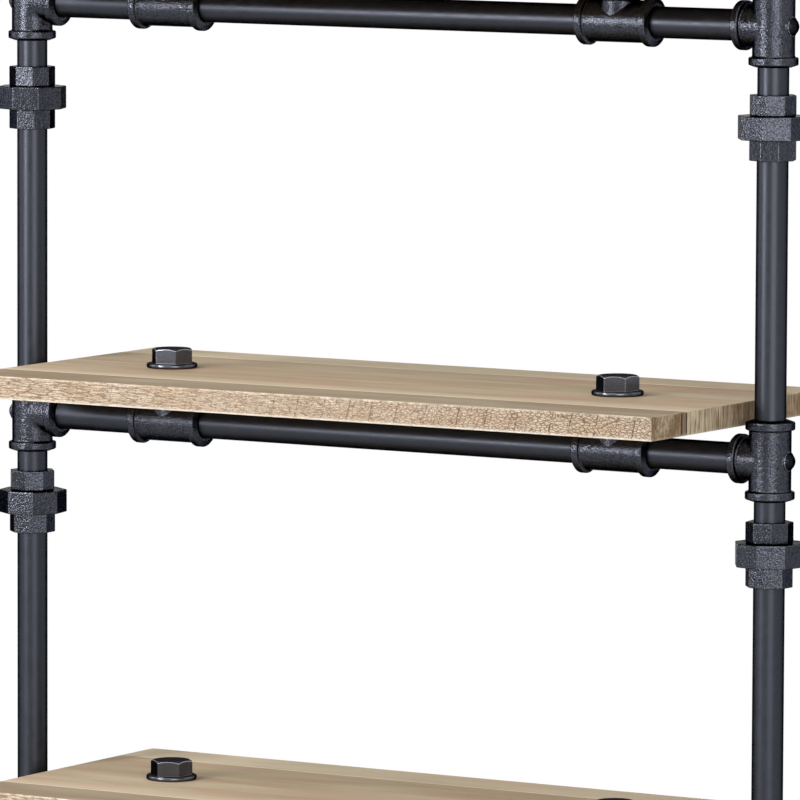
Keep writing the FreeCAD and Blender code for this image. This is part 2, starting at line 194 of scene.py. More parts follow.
def makePipePaint():
    # Drawn steel tube under gunmetal flake powder coat: smooth, with faint peel and soft long highlights
    look = pipePaint
    material, tree, shader = newMaterial("gunmetalPowderCoat")
    cloud = addNode(tree, "TexNoise", {"Vector": grid(tree, look["cloud"]), "Scale": 1, "Detail": 3})
    colour = addNode(tree, "Mix", {"data_type": "RGBA", "Factor": cloud,
                                   "A": fromHex(look["colour"]), "B": fromHex(look["lighter"])})
    gloss = addNode(tree, "MapRange", {0: cloud, 1: noiseLow, 2: noiseHigh,
                                       3: look["glossiest"], 4: look["dullest"]})
    peel = addNode(tree, "TexNoise", {"Vector": grid(tree, look["peel"]), "Scale": 1, "Detail": 1.5})
    ripple = addNode(tree, "Bump", {"Height": peel, "Distance": look["peelDepth"] / 1000})
    setNode(tree, shader, {"Base Color": colour, "Metallic": 1.0, "Roughness": gloss, "Normal": ripple,
                           "Specular Tint": fromHex(flakeRimShade)})
    return material


boltPaint = {
    # the darkest colour is painted shade on the upward faces; the palest is painted highlight on the corners
    "colour": "#55575f", "lighter": "#61636b", "paintedTopShade": "#34353a", "edgeHighlight": "#c4c6cd",
    "cloud": 7, "peel": 3.2, "peelDepth": 0.05, "edgeRound": 0.9,
    "upFrom": 0.6, "upFull": 0.97, "sideRoughness": 0.2, "topRoughness": 0.6, "edgeHighlightMost": 0.75,
}


def makeBoltPaint():
    # Forged bolt dipped in thick gunmetal enamel: corners softened by the paint, the flat top dull and
    # darkened as painted shade, the outward corners lightened as painted highlight
    look = boltPaint
    material, tree, shader = newMaterial("gunmetalEnamelledBolt")
    cloud = addNode(tree, "TexNoise", {"Vector": grid(tree, look["cloud"]), "Scale": 1, "Detail": 3})
    colour = addNode(tree, "Mix", {"data_type": "RGBA", "Factor": cloud,
                                   "A": fromHex(look["colour"]), "B": fromHex(look["lighter"])})
    # painted shade: upward faces are darkened as if turned from the light, and made duller
    facing = addNode(tree, "NewGeometry", {}, "Normal")
    upward = addNode(tree, "SeparateXYZ", {"Vector": facing}, "Z")
    upward = addNode(tree, "MapRange", {0: upward, 1: look["upFrom"], 2: look["upFull"]})
    colour = addNode(tree, "Mix", {"data_type": "RGBA", "Factor": upward, "A": colour,
                                   "B": fromHex(look["paintedTopShade"])})
    dull = addNode(tree, "MapRange", {0: upward, 3: look["sideRoughness"], 4: look["topRoughness"]})
    # painted highlight: outward corners lightened towards bright iron, so that they glint
    corner = addNode(tree, "Bevel", {"samples": 8, "Radius": look["edgeRound"] / 1000})
    bright = edgeHighlightMask(tree, corner, look["edgeRound"], look["edgeHighlightMost"])
    colour = addNode(tree, "Mix", {"data_type": "RGBA", "Factor": bright, "A": colour,
                                   "B": fromHex(look["edgeHighlight"])})
    peel = addNode(tree, "TexNoise", {"Vector": grid(tree, look["peel"]), "Scale": 1, "Detail": 2})
    ripple = addNode(tree, "Bump", {"Height": peel, "Distance": look["peelDepth"] / 1000, "Normal": corner})
    setNode(tree, shader, {"Base Color": colour, "Metallic": 1.0, "Roughness": dull, "Normal": ripple,
                           "Specular Tint": fromHex(flakeRimShade)})
    return material


screwFinish = {
    "colour": "#15161a", "lighter": "#202127", "cloud": 1.8, "glossiest": 0.22, "dullest": 0.4,
    "turning": 0.5, "turningDepth": 0.02,  # the lathe's marks, drawn coarser than its feed to show
}


def makeScrewFinish():
    # Black-oxide alloy steel: nearly black, with a dull oily sheen
    look = screwFinish
    material, tree, shader = newMaterial("blackOxideSteel")
    cloud = addNode(tree, "TexNoise", {"Vector": grid(tree, look["cloud"]), "Scale": 1, "Detail": 3})
    colour = addNode(tree, "Mix", {"data_type": "RGBA", "Factor": cloud,
                                   "A": fromHex(look["colour"]), "B": fromHex(look["lighter"])})
    gloss = addNode(tree, "MapRange", {0: cloud, 1: noiseLow, 2: noiseHigh,
                                       3: look["glossiest"], 4: look["dullest"]})
    turning = addNode(tree, "TexNoise", {"Vector": grid(tree, look["turning"]), "Scale": 1})
    marks = addNode(tree, "Bump", {"Height": turning, "Distance": look["turningDepth"] / 1000})
    setNode(tree, shader, {"Base Color": colour, "Metallic": 1.0, "Roughness": gloss, "Normal": marks,
                           "Specular Tint": fromHex(flakeRimShade)})
    return material


studFinish = {"colour": "#8f949a", "bright": "#b9bdc2", "spangle": 1.2, "glossiest": 0.25, "dullest": 0.42}


def makeStudFinish():
    # Zinc-plated steel: bright, slightly blue, with a fine mottled spangle
    look = studFinish
    material, tree, shader = newMaterial("zincPlatedSteel")
    spangle = addNode(tree, "TexNoise", {"Vector": grid(tree, look["spangle"]), "Scale": 1, "Detail": 3})
    colour = addNode(tree, "Mix", {"data_type": "RGBA", "Factor": spangle,
                                   "A": fromHex(look["colour"]), "B": fromHex(look["bright"])})
    gloss = addNode(tree, "MapRange", {0: spangle, 1: noiseLow, 2: noiseHigh,
                                       3: look["glossiest"], 4: look["dullest"]})
    setNode(tree, shader, {"Base Color": colour, "Roughness": gloss, "Metallic": 1.0})
    return material


padFinish = {
    "colour": "#17181a", "lighter": "#232427", "cloud": 6, "roughness": 0.55,
    "mould": 0.9, "mouldDepth": 0.05,  # the spark-eroded grain is about 0.2: drawn coarser to show
}


def makePadFinish():
    # Moulded nylon foot: matt black with a spark-eroded mould texture
    look = padFinish
    material, tree, shader = newMaterial("mouldedNylon")
    cloud = addNode(tree, "TexNoise", {"Vector": grid(tree, look["cloud"]), "Scale": 1, "Detail": 3})
    colour = addNode(tree, "Mix", {"data_type": "RGBA", "Factor": cloud,
                                   "A": fromHex(look["colour"]), "B": fromHex(look["lighter"])})
    mould = addNode(tree, "TexNoise", {"Vector": grid(tree, look["mould"]), "Scale": 1})
    texture = addNode(tree, "Bump", {"Height": mould, "Distance": look["mouldDepth"] / 1000})
    setNode(tree, shader, {"Base Color": colour, "Normal": texture, "Roughness": look["roughness"],
                           "IOR": 1.53})
    return material


def plankNumber(tree, across, jointY):
    # 0 on the front plank, 1 on the middle one and 2 on the back one
    past = [addNode(tree, "Math", {"operation": "GREATER_THAN", 0: across, 1: y * 1000}) for y in jointY]
    return addNode(tree, "Math", {"operation": "ADD", 0: past[0], 1: past[1]})


plankStep = (9.7, 0, 4.3)  # from one plank's grain to the next one's, in cells


def grainOf(tree, plank, cell, shift=(0, 0, 0)):
    # Coordinates in cells of the grain, which starts anew on each plank
    return addNode(tree, "VectorMath", {"operation": "MULTIPLY_ADD", 0: plank, 1: plankStep,
                                        2: grid(tree, cell, shift)})


oakFace = {
    "light": "#ccbb9f", "dark": "#b69f82", "pink": "#c49f87", "olive": "#b9ab8e", "vein": "#a0866a",
    "sap": "#dccab0", "back": "#e0d8bf", "arrisHighlight": "#e6d4b8",
    "figure": (230, 40, 60), "pinkPatch": (150, 52, 60), "olivePatch": (110, 44, 60),
    "vessel": (70, 2.6, 8), "pore": (16, 0.8, 3), "poreDepth": 0.04,  # pores are 0.3 wide: widened to show
    "pinkShift": (3, 7, 2), "oliveShift": (8, 2, 5),  # in cells, so that the patches lie apart
    "lightFrom": 0.36, "lightFull": 0.64, "patchFrom": 0.5, "patchFull": 0.72, "patchMost": 0.6,
    "vesselFrom": 0.5, "vesselFull": 0.75, "vesselMost": 0.25,
    "sapBand": 34, "sapMost": 0.8, "plankShades": (0.67, 1.03, 1.32), "backMost": 0.4,
    "dullest": 0.78, "glossiest": 0.62, "shine": 0.15,
}


def makeOakFace(jointY):
    # Matt-oiled oak face: calm tan with long soft streaks, each plank with its own grain and shade
    look = oakFace
    material, tree, shader = newMaterial("oiledOakFace")
    across = addNode(tree, "SeparateXYZ", {"Vector": grid(tree, 1)}, "Y")
    plank = plankNumber(tree, across, jointY)
    figure = addNode(tree, "TexNoise", {"Vector": grainOf(tree, plank, look["figure"]), "Scale": 1,
                                        "Detail": 3, "Distortion": 0.8})
    lighter = addNode(tree, "MapRange", {0: figure, 1: look["lightFrom"], 2: look["lightFull"]})
    colour = addNode(tree, "Mix", {"data_type": "RGBA", "Factor": lighter,
                                   "A": fromHex(look["dark"]), "B": fromHex(look["light"])})
    for tone in ("pink", "olive"):
        cells = grainOf(tree, plank, look[tone + "Patch"], look[tone + "Shift"])
        patch = addNode(tree, "TexNoise", {"Vector": cells, "Scale": 1, "Detail": 1})
        patch = addNode(tree, "MapRange", {0: patch, 1: look["patchFrom"], 2: look["patchFull"],
                                           3: 0, 4: look["patchMost"]})
        colour = addNode(tree, "Mix", {"data_type": "RGBA", "Factor": patch, "A": colour,
                                       "B": fromHex(look[tone])})
    vessel = addNode(tree, "TexNoise", {"Vector": grainOf(tree, plank, look["vessel"]), "Scale": 1,
                                        "Detail": 3, "Roughness": 0.6})
    vessel = addNode(tree, "MapRange", {0: vessel, 1: look["vesselFrom"], 2: look["vesselFull"],
                                        3: 0, 4: look["vesselMost"]})
    colour = addNode(tree, "Mix", {"data_type": "RGBA", "Factor": vessel, "A": colour,
                                   "B": fromHex(look["vein"])})
    joint = jointY[0] * 1000
    sap = addNode(tree, "MapRange", {0: across, 1: joint, 2: joint + look["sapBand"],
                                     3: look["sapMost"], 4: 0})
    behind = addNode(tree, "Math", {"operation": "GREATER_THAN", 0: across, 1: joint})
    sap = addNode(tree, "Math", {"operation": "MULTIPLY", 0: sap, 1: behind})
    colour = addNode(tree, "Mix", {"data_type": "RGBA", "Factor": sap, "A": colour,
                                   "B": fromHex(look["sap"])})
    front, middle, back = look["plankShades"]
    shade = addNode(tree, "MapRange", {0: plank, 1: 0, 2: 1, 3: front, 4: middle})
    shade = addNode(tree, "MapRange", {0: plank, 1: 1, 2: 2, 3: shade, 4: back})
    colour = addNode(tree, "VectorMath", {"operation": "SCALE", 0: colour, "Scale": shade})
    paler = addNode(tree, "MapRange", {0: plank, 1: 1, 2: 2, 3: 0, 4: look["backMost"]})
    colour = addNode(tree, "Mix", {"data_type": "RGBA", "Factor": paler, "A": colour,
                                   "B": fromHex(look["back"])})
    # painted highlight: a pale line along the arrises
    paintedArrisHighlight = addNode(tree, "Attribute", {"attribute_name": "arrisHighlight"}, "Fac")
    colour = addNode(tree, "Mix", {"data_type": "RGBA", "Factor": paintedArrisHighlight, "A": colour,
                                   "B": fromHex(look["arrisHighlight"])})
    pore = addNode(tree, "TexNoise", {"Vector": grainOf(tree, plank, look["pore"]), "Scale": 1, "Detail": 2,
                                      "Roughness": 0.6})
    gloss = addNode(tree, "MapRange", {0: pore, 1: noiseLow, 2: noiseHigh,
                                       3: look["glossiest"], 4: look["dullest"]})
    relief = addNode(tree, "Bump", {"Height": pore, "Distance": look["poreDepth"] / 1000})
    setNode(tree, shader, {"Base Color": colour, "Roughness": gloss, "Normal": relief, "IOR": 1.5,
                           "Specular IOR Level": look["shine"]})
    return material


oakSawn = {
    "pale": "#e4d3bd", "warm": "#dac1a5", "grey": "#cdbaa1", "line": "#7a5f4b", "cut": "#5c4333",
    "arrisHighlight": "#fff6e9",
    "patch": (50, 50, 14), "fibre": (8, 8, 0.8), "speckle": (1.5, 1.5, 1.1), "wander": (20, 20, 9),
    "drawnOut": (17, 17, 1.6), "chequered": (5.0, 5.0, 1.9), "hair": (2.4, 2.4, 1.0), "depth": 0.35,
    "warmFrom": 0.35, "warmFull": 0.65, "greyFrom": 0.45, "greyFull": 0.7, "speckleShades": (0.78, 1.18),
    "wanderCells": (1.0, 1.0, 1.9), "lineWidth": (0.02, 0.13), "hairMost": 0.5,  # widths in cells
    "closeUp": (-260, 240), "closedShade": 0.92, "lineMost": (0.85, 0.95), "sawMost": (0.1, 0.85),
    "saw": 27, "sawLean": 0.27, "sawWidth": (0.008, 0.03), "sawUneven": 0.7,  # width in strokes of the saw
    "drift": (60, 60, 12), "driftCells": 0.12,
    "broken": (30, 30, 7), "brokenShift": (2, 4, 9), "brokenFrom": 0.38, "brokenFull": 0.5,
    "roughness": 0.8, "shine": 0.2,
}


def makeOakSawn():
    # Long edge as it left the saw: pale fibre under a net of fine checks, drawn out along the edge at the
    # left and closing up to the right, where the leaning saw cuts show too
    look = oakSawn
    material, tree, shader = newMaterial("sawnOakEdge")
    patch = addNode(tree, "TexNoise", {"Vector": grid(tree, look["patch"]), "Scale": 1, "Detail": 2})
    warmer = addNode(tree, "MapRange", {0: patch, 1: look["warmFrom"], 2: look["warmFull"]})
    colour = addNode(tree, "Mix", {"data_type": "RGBA", "Factor": warmer,
                                   "A": fromHex(look["pale"]), "B": fromHex(look["warm"])})
    fibre = addNode(tree, "TexNoise", {"Vector": grid(tree, look["fibre"]), "Scale": 1, "Detail": 3})
    greyer = addNode(tree, "MapRange", {0: fibre, 1: look["greyFrom"], 2: look["greyFull"]})
    colour = addNode(tree, "Mix", {"data_type": "RGBA", "Factor": greyer, "A": colour,
                                   "B": fromHex(look["grey"])})
    along = addNode(tree, "SeparateXYZ", {"Vector": grid(tree, 1)}, "X")
    closed = addNode(tree, "MapRange", {0: along, 1: look["closeUp"][0], 2: look["closeUp"][1]})
    shade = addNode(tree, "MapRange", {0: closed, 3: 1, 4: look["closedShade"]})
    speckle = addNode(tree, "TexNoise", {"Vector": grid(tree, look["speckle"]), "Scale": 1, "Detail": 2})
    darkest, palest = look["speckleShades"]
    speckle = addNode(tree, "MapRange", {0: speckle, 1: noiseLow, 2: noiseHigh, 3: darkest, 4: palest})
    shade = addNode(tree, "Math", {"operation": "MULTIPLY", 0: shade, 1: speckle})
    colour = addNode(tree, "VectorMath", {"operation": "SCALE", 0: colour, "Scale": shade})
    wander = addNode(tree, "TexNoise", {"Vector": grid(tree, look["wander"]), "Scale": 1, "Detail": 4},
                     "Color")
    thin, wide = look["lineWidth"]
    lines = {}
    for check in ("drawnOut", "chequered", "hair"):
        bent = addNode(tree, "VectorMath", {"operation": "MULTIPLY_ADD", 0: wander, 1: look["wanderCells"],
                                            2: grid(tree, look[check])})
        net = addNode(tree, "TexVoronoi", {"feature": "DISTANCE_TO_EDGE", "Vector": bent, "Scale": 1})
        lines[check] = addNode(tree, "MapRange", {0: net, 1: thin, 2: wide, 3: 1, 4: 0})
    line = addNode(tree, "Mix", {"data_type": "FLOAT", "Factor": closed, "A": lines["drawnOut"],
                                 "B": lines["chequered"]})
    most = addNode(tree, "MapRange", {0: closed, 3: look["lineMost"][0], 4: look["lineMost"][1]})
    low = [addNode(tree, "Math", {"operation": "MULTIPLY", 0: line, 1: most}),
           addNode(tree, "Math", {"operation": "MULTIPLY", 0: lines["hair"], 1: look["hairMost"]})]
    # The cuts cross the edge a stroke apart, lean, drift and break off
    leaning = addNode(tree, "VectorMath", {"operation": "DOT_PRODUCT", 0: grid(tree, look["saw"]),
                                           1: (1, 0, -look["sawLean"])}, "Value")
    drift = addNode(tree, "TexNoise", {"Vector": grid(tree, look["drift"]), "Scale": 1, "Detail": 2})
    leaning = addNode(tree, "Math", {"operation": "MULTIPLY_ADD", 0: drift, 1: look["driftCells"],
                                     2: leaning})
    stroke = addNode(tree, "TexVoronoi", {"voronoi_dimensions": "1D", "feature": "DISTANCE_TO_EDGE",
                                          "W": leaning, "Scale": 1, "Randomness": look["sawUneven"]})
    thin, wide = look["sawWidth"]
    stroke = addNode(tree, "MapRange", {0: stroke, 1: thin, 2: wide, 3: 1, 4: 0})
    most = addNode(tree, "MapRange", {0: closed, 3: look["sawMost"][0], 4: look["sawMost"][1]})
    cells = grid(tree, look["broken"], look["brokenShift"])
    broken = addNode(tree, "TexNoise", {"Vector": cells, "Scale": 1, "Detail": 3})
    broken = addNode(tree, "MapRange", {0: broken, 1: look["brokenFrom"], 2: look["brokenFull"],
                                        3: 0, 4: most})
    low.append(addNode(tree, "Math", {"operation": "MULTIPLY", 0: stroke, 1: broken}))
    height = fibre
    for sunk, tone in zip(low, ("line", "line", "cut")):
        colour = addNode(tree, "Mix", {"data_type": "RGBA", "Factor": sunk, "A": colour,
                                       "B": fromHex(look[tone])})
        height = addNode(tree, "Math", {"operation": "SUBTRACT", 0: height, 1: sunk})
    # painted highlight: a near-white line along the arrises
    paintedArrisHighlight = addNode(tree, "Attribute", {"attribute_name": "arrisHighlight"}, "Fac")
    colour = addNode(tree, "Mix", {"data_type": "RGBA", "Factor": paintedArrisHighlight, "A": colour,
                                   "B": fromHex(look["arrisHighlight"])})
    relief = addNode(tree, "Bump", {"Height": height, "Distance": look["depth"] / 1000})
    setNode(tree, shader, {"Base Color": colour, "Normal": relief, "Roughness": look["roughness"],
                           "IOR": 1.5, "Specular IOR Level": look["shine"]})
    return material


oakEnd = {
    "pale": "#e0ceb0", "dark": "#8f7458", "line": "#4c3927", "filler": "#7c6047", "seam": "#35251a",
    "arrisHighlight": "#e4d2b4",
    "patch": (26, 26, 30), "saw": (1.6, 1.6, 26), "speckle": (1.9, 1.9, 5), "depth": 0.4,
    "fibreShare": 0.6, "paleFrom": 0.36, "paleFull": 0.58,
    "lineFrom": 0.44, "lineFull": 0.34, "lineMost": 0.85,
    # the first two of these: paler just behind the joint, then painted shadow of the upright towards the back
    "paleThenShadowZone": (10, 90), "paleThenShadowShift": (-0.07, 0.13), "frontShift": 0.09,
    "fillerMost": 0.75, "seamWidth": (0.8, 1.4), "seamMost": 0.95, "arrisHighlightMost": 0.5,
    "roughness": 0.8, "shine": 0.2,
}


def makeOakEnd(jointY):
    # Sawn end: upright saw marks close together, tan behind the joint and browner on the front plank, with
    # painted shadow of the upright darkening it towards the back
    look = oakEnd
    material, tree, shader = newMaterial("sawnOakEnd")
    across = addNode(tree, "SeparateXYZ", {"Vector": grid(tree, 1)}, "Y")
    patch = addNode(tree, "TexNoise", {"Vector": grid(tree, look["patch"]), "Scale": 1, "Detail": 2})
    marks = addNode(tree, "TexNoise", {"Vector": grid(tree, look["saw"]), "Scale": 1, "Detail": 3,
                                       "Roughness": 0.7, "Distortion": 0.3})
    speckle = addNode(tree, "TexNoise", {"Vector": grid(tree, look["speckle"]), "Scale": 1, "Detail": 3,
                                         "Roughness": 0.7, "Distortion": 1.0})
    joint = jointY[0] * 1000
    secondSeam = joint - shelfBoard["endSeam"] * 1000
    behind = addNode(tree, "Math", {"operation": "GREATER_THAN", 0: across, 1: secondSeam})
    fibre = addNode(tree, "Mix", {"data_type": "FLOAT", "Factor": behind, "A": speckle, "B": marks})
    tone = addNode(tree, "Mix", {"data_type": "FLOAT", "Factor": look["fibreShare"], "A": patch, "B": fibre})
    # paler just behind the joint, then darker towards the back as painted shadow of the upright
    near, far = (joint + reach for reach in look["paleThenShadowZone"])
    fade = addNode(tree, "MapRange", {0: across, 1: near, 2: far,
                                      3: look["paleThenShadowShift"][0], 4: look["paleThenShadowShift"][1]})
    fade = addNode(tree, "Mix", {"data_type": "FLOAT", "Factor": behind, "A": look["frontShift"], "B": fade})
    tone = addNode(tree, "Math", {"operation": "SUBTRACT", 0: tone, 1: fade})
    paler = addNode(tree, "MapRange", {0: tone, 1: look["paleFrom"], 2: look["paleFull"]})
    colour = addNode(tree, "Mix", {"data_type": "RGBA", "Factor": paler,
                                   "A": fromHex(look["dark"]), "B": fromHex(look["pale"])})
    deep = addNode(tree, "MapRange", {0: fibre, 1: look["lineFull"], 2: look["lineFrom"],
                                      3: look["lineMost"], 4: 0})
    colour = addNode(tree, "Mix", {"data_type": "RGBA", "Factor": deep, "A": colour,
                                   "B": fromHex(look["line"])})
    ahead = addNode(tree, "Math", {"operation": "LESS_THAN", 0: across, 1: joint})
    between = addNode(tree, "Math", {"operation": "MULTIPLY", 0: behind, 1: ahead})
    between = addNode(tree, "Math", {"operation": "MULTIPLY", 0: between, 1: look["fillerMost"]})
    colour = addNode(tree, "Mix", {"data_type": "RGBA", "Factor": between, "A": colour,
                                   "B": fromHex(look["filler"])})
    thin, wide = look["seamWidth"]
    for y in (joint, secondSeam):
        away = addNode(tree, "Math", {"operation": "SUBTRACT", 0: across, 1: y})
        away = addNode(tree, "Math", {"operation": "ABSOLUTE", 0: away})
        seam = addNode(tree, "MapRange", {0: away, 1: thin, 2: wide, 3: look["seamMost"], 4: 0})
        colour = addNode(tree, "Mix", {"data_type": "RGBA", "Factor": seam, "A": colour,
                                       "B": fromHex(look["seam"])})
    # painted highlight: a pale line along the arrises, at half strength
    paintedArrisHighlight = addNode(tree, "Attribute", {"attribute_name": "arrisHighlight"}, "Fac")
    paintedArrisHighlight = addNode(tree, "Math", {"operation": "MULTIPLY", 0: paintedArrisHighlight, 1: look["arrisHighlightMost"]})
    colour = addNode(tree, "Mix", {"data_type": "RGBA", "Factor": paintedArrisHighlight, "A": colour,
                                   "B": fromHex(look["arrisHighlight"])})
    relief = addNode(tree, "Bump", {"Height": fibre, "Distance": look["depth"] / 1000})
    setNode(tree, shader, {"Base Color": colour, "Normal": relief, "Roughness": look["roughness"],
                           "IOR": 1.5, "Specular IOR Level": look["shine"]})
    return material


onPlane = 1e-7  # metres: a corner this near a cutting plane lies on it

shelfBoard = {  # metres
    "frontPlank": 0.059, "backPlank": 0.051, "grooveWidth": 0.0016, "grooveDepth": 0.0012,
    "endSeam": 0.0078,  # from a joint to the second seam, on the ends alone
    "edgeRound": 0.0006, "roundSteps": 2, "cell": {"x": 0.0026, "y": 0.0045, "z": 0.0015},
    "onSeam": 0.000001, "sliver": 0.000005, "alongAxis": 0.9999,  # the last is a cosine
    "boltHole": 0.0105, "holeSides": 48,
    "sawDrift": 0.0005, "reach": 0.003, "driftMiddle": 0.5,
    "driftWaves": (  # waves per metre, how far edges and boards lie apart in the noise, and the strength
        {"along": 40, "up": 30, "edgeApart": 9, "boardApart": 1, "strength": 0.35},
        {"along": 230, "up": 190, "edgeApart": 7, "boardApart": -1, "strength": 0.45}),
    # the arrises carry a patchy pale painted highlight: its widths, strengths and patches
    "topArris": 0.0013, "topWear": 0.5, "bottomArris": 0.0023, "bottomWear": 1.1,
    "highlightPatches": {"perMetre": 160, "boardApart": 31, "strength": 0.9},
}


def divideAlong(bm, axis, cell):
    # Splits the edges that run along an axis into cells of about one size, those of one length together
    groups = {}
    for edge in bm.edges:
        run = edge.verts[1].co - edge.verts[0].co
        if abs(run[axis]) > shelfBoard["alongAxis"] * run.length:
            groups.setdefault(round(run.length, 5), []).append(edge)
    for length, edges in sorted(groups.items()):
        cuts = round(length / cell) - 1
        if cuts > 0:
            bmesh.ops.subdivide_edges(bm, edges=edges, cuts=cuts, use_grid_fill=True)


def sawDriftAndArrisHighlight(bm, low, high):
    # The saw drifted: the edges wander inwards by up to half a millimetre, and nothing passes the box
    look = shelfBoard
    patches = look["highlightPatches"]
    # painted highlight: a pale line along the top and bottom arrises, in patches, kept in a layer of the mesh
    arrisHighlight = bm.verts.layers.float.new("arrisHighlight")
    for vert in bm.verts:
        at = vert.co.copy()
        toSides = min(at.x - low.x, high.x - at.x, at.y - low.y, high.y - at.y)
        toFaces = min(at.z - low.z, high.z - at.z)
        side = "bottom" if at.z < (low.z + high.z) / 2 else "top"
        place = (at.x * patches["perMetre"], at.y * patches["perMetre"], high.z * patches["boardApart"])
        patchy = look[side + "Wear"] + patches["strength"] * noise.noise(Vector(place))
        vert[arrisHighlight] = max(0, 1 - max(toSides, toFaces) / look[side + "Arris"]) * max(0, min(1, patchy))
        for axis, along in ((0, 1), (1, 0)):
            for edge, inward in ((low[axis], 1), (high[axis], -1)):
                near = 1 - abs(at[axis] - edge) / look["reach"]
                if near <= 0:
                    continue
                drift = look["driftMiddle"]
                for wave in look["driftWaves"]:
                    own = edge * wave["edgeApart"] + high.z * wave["boardApart"]
                    place = (at[along] * wave["along"], at.z * wave["up"], own)
                    drift += wave["strength"] * noise.noise(Vector(place))
                vert.co[axis] += inward * look["sawDrift"] * near * max(0, min(1, drift))


def oakBoard(low, high, jointY):
    look = shelfBoard
    bm = bmesh.new()
    bmesh.ops.create_cube(bm, size=1.0)
    bmesh.ops.transform(bm, verts=bm.verts, matrix=Matrix.Translation((low + high) / 2)
                        @ Matrix.Diagonal((high - low).to_4d()))
    bmesh.ops.bevel(bm, geom=bm.edges[:], offset=look["edgeRound"], offset_type="OFFSET",
                    segments=look["roundSteps"], profile=0.5, affect="EDGES", material=-1)
    seamY = (*jointY, jointY[0] - look["endSeam"])
    for y in seamY:
        for step in (-0.5, 0, 0.5):  # the two rims of a vee and its middle
            bmesh.ops.bisect_plane(bm, geom=bm.verts[:] + bm.edges[:] + bm.faces[:], dist=onPlane,
                                   plane_co=(0, y + step * look["grooveWidth"], 0), plane_no=(0, 1, 0))
    for axis, key in enumerate("xyz"):
        divideAlong(bm, axis, look["cell"][key])
    for vert in bm.verts:  # the middle line of each cut sinks into a vee
        nearest = min(seamY, key=lambda y: abs(vert.co.y - y))
        if abs(vert.co.y - nearest) < look["onSeam"]:
            vert.co.x = max(low.x + look["grooveDepth"], min(vert.co.x, high.x - look["grooveDepth"]))
            if nearest in jointY:
                vert.co.z = min(vert.co.z, high.z - look["grooveDepth"])
    bmesh.ops.dissolve_degenerate(bm, edges=bm.edges, dist=look["sliver"])
    sawDriftAndArrisHighlight(bm, low, high)
    for face in bm.faces:  # the side of the box that is nearest gives the finish
        at = face.calc_center_median()
        depths = [min(at[axis] - low[axis], high[axis] - at[axis]) for axis in (2, 1, 0)]
        face.material_index = depths.index(min(depths))
    return bm


def newPiece(name, bm, materials):
    mesh = bpy.data.meshes.new(name)
    bm.to_mesh(mesh)
    bm.free()
    for material in materials:
        mesh.materials.append(material)
    piece = bpy.data.objects.new(name, mesh)
    bpy.context.scene.collection.objects.link(piece)
    return piece


def drillHoles(board, low, high, boltX):
    # Bolt holes, cut with one drill at a time and applied to the mesh, then the faces round them tidied
    look = shelfBoard
    for x in (-boltX, boltX):
        bm = bmesh.new()
        bmesh.ops.create_cone(bm, cap_ends=True, segments=look["holeSides"], radius1=look["boltHole"],
                              radius2=look["boltHole"], depth=2 * (high.z - low.z),
                              matrix=Matrix.Translation((x, 0, (low.z + high.z) / 2)))
        drill = newPiece("drill", bm, board.data.materials[:1])  # for the wall of the hole
        cut = board.modifiers.new("boltHole", "BOOLEAN")
        cut.operation, cut.solver, cut.object = "DIFFERENCE", "MANIFOLD", drill
        shaped = bpy.data.meshes.new_from_object(board.evaluated_get(bpy.context.evaluated_depsgraph_get()))
        board.modifiers.remove(cut)
        board.data = shaped
        bpy.data.objects.remove(drill)
    bm = bmesh.new()
    bm.from_mesh(board.data)
    bmesh.ops.triangulate(bm, faces=[face for face in bm.faces if len(face.verts) > 4])
    bmesh.ops.dissolve_degenerate(bm, edges=bm.edges, dist=look["sliver"])
    bm.to_mesh(board.data)
    bm.free()


def makeBoards(jointY, materials):
    for tier in range(1, tierCount + 1):
        node = "board_tier_%d" % tier
        low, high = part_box(node)
        boltLow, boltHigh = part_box("shelf_bolts_tier_%d" % tier)
        boltX = boltHigh.x - (boltHigh.y - boltLow.y) / 2  # the round flange is as wide as it is deep
        board = newPiece("oakBoard_%d" % tier, oakBoard(low, high, jointY), materials)
        drillHoles(board, low, high, boltX)
        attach(board, "frame")
        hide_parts(node)
        print("board %d: %d faces" % (tier, len(board.data.polygons)))


studThread = {
    "pitch": 0.00125, "depth": 0.0007, "stepsPerTurn": 20, "weld": 0.000001, "sliver": 0.000005,  # metres
    "profile": (("root", 0), ("root", 0.12), ("crest", 0.45), ("crest", 0.55), ("root", 0.88), ("root", 1)),
    "spareTurns": 2, "startBelow": 1.5,  # turns past the two ends, for trimming
}


def threadedStud(low, high):
    # One pitch of thread as a zigzag line, spun up the stud and trimmed to length
    look = studThread
    pitch, steps = look["pitch"], look["stepsPerTurn"]
    crest = (high.x - low.x) / 2
    radii = {"crest": crest, "root": crest - look["depth"]}
    turns = math.ceil((high.z - low.z) / pitch) + look["spareTurns"]
    bm = bmesh.new()
    line = [bm.verts.new((radii[place], 0, height * pitch)) for place, height in look["profile"]]
    edges = [bm.edges.new(pair) for pair in zip(line, line[1:])]
    bmesh.ops.spin(bm, geom=line + edges, cent=(0, 0, 0), axis=(0, 0, 1), dvec=(0, 0, pitch / steps),
                   angle=2 * math.pi * turns, steps=steps * turns)
    bmesh.ops.remove_doubles(bm, verts=bm.verts, dist=look["weld"])
    start = ((low.x + high.x) / 2, (low.y + high.y) / 2, low.z - look["startBelow"] * pitch)
    bmesh.ops.translate(bm, verts=bm.verts, vec=start)
    for height, upward in ((low.z, -1), (high.z, 1)):
        bmesh.ops.bisect_plane(bm, geom=bm.verts[:] + bm.edges[:] + bm.faces[:], dist=onPlane,
                               clear_outer=True, plane_co=(0, 0, height), plane_no=(0, 0, upward))
    bmesh.ops.dissolve_degenerate(bm, edges=bm.edges, dist=look["sliver"])
    bmesh.ops.holes_fill(bm, edges=[edge for edge in bm.edges if edge.is_boundary], sides=0)
    bmesh.ops.recalc_face_normals(bm, faces=bm.faces)
    return bm


